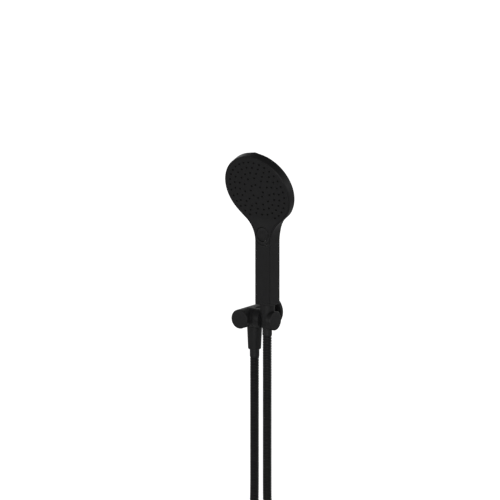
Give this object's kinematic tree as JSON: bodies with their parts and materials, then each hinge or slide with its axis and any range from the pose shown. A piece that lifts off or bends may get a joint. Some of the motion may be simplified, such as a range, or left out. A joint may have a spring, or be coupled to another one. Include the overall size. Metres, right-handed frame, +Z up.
{
  "type": "hand shower set",
  "caption": "Round-headed hand shower with a mode button, parked in a tilting holder on a wall outlet arm, with its ribbed hose hanging in a loop between them.",
  "frame": {"origin": "centre of the wall rose's back face, on the arm's axis, where the wall is", "axes": "+Z up, -Y out of the wall towards the user, +X to the user's right"},
  "size_m": [0.1502, 0.1233, 0.8753],
  "materials": {
    "satin_black_metal": "satin",
    "satin_black_plastic": "satin",
    "black_hose": "satin",
    "black_silicone": "matte",
    "seal_rubber": "matte",
    "brass": "machined",
    "steel": "satin",
    "white_plastic": "satin",
    "dark_plastic": "matte",
    "green_plastic": "satin"
  },
  "bodies": {
    "wall_outlet": {"wall_rose": "satin_black_metal", "rose_gasket": "seal_rubber", "wall_arm": "satin_black_metal", "arm_end_cap": "satin_black_metal", "cap_o_ring": "seal_rubber", "inlet_nipple": "brass", "nipple_o_ring": "seal_rubber", "grub_screw": "steel", "check_valve": "white_plastic", "outlet_nipple": "brass", "pivot_bolt": "steel", "friction_washer": "white_plastic", "outlet_washer": "seal_rubber", "outlet_hose_tail": "brass", "outlet_hose_nut": "satin_black_metal", "outlet_ferrule": "satin_black_metal", "shower_hose": "black_hose"},
    "holder": {"holder_barrel": "satin_black_metal", "seat_liner": "dark_plastic", "barrel_end_cap": "satin_black_metal", "spring_washer": "steel"},
    "hose_end": {"handset_hose_tail": "brass", "handset_ferrule": "satin_black_metal"},
    "handset": {"handset_hose_nut": "satin_black_metal", "handset_washer": "seal_rubber", "flow_limiter": "green_plastic", "inlet_spigot": "white_plastic", "tube_o_ring": "seal_rubber", "water_tube": "white_plastic", "handle_collar": "satin_black_plastic", "back_shell": "satin_black_plastic", "handle_panel": "satin_black_plastic", "front_cover": "satin_black_plastic", "nozzle_mat": "black_silicone", "water_chamber": "white_plastic", "chamber_screws": "steel", "chamber_duct": "white_plastic", "duct_o_ring": "seal_rubber", "diverter_housing": "white_plastic", "housing_cap": "dark_plastic", "button_spring": "steel"},
    "mode_button": {"mode_button": "satin_black_plastic", "diverter_plunger": "dark_plastic", "plunger_seals": "seal_rubber"}
  },
  "joints": [
    {"name": "holder_tilt", "type": "hinge", "parent": "wall_outlet", "child": "holder", "pos_m": [0.039, -0.061, 0], "axis": [1, 0, 0], "range_deg": [-10, 25], "deforming": ["shower_hose"]},
    {"name": "handset_lift", "type": "slide", "parent": "holder", "child": "hose_end", "axis": [0, 0, 1], "range_m": [0, 0.03], "deforming": ["shower_hose"]},
    {"name": "handset_turn", "type": "hinge", "parent": "hose_end", "child": "handset", "pos_m": [0.039, -0.061, 0], "axis": [0, 0, 1], "range_deg": [-90, 90]},
    {"name": "button_press", "type": "slide", "parent": "handset", "child": "mode_button", "axis": [0, 1, 0], "range_m": [0, 0.0025], "stiffness_N_per_m": 600, "springref_m": -0.002, "deforming": ["button_spring"]}
  ]
}
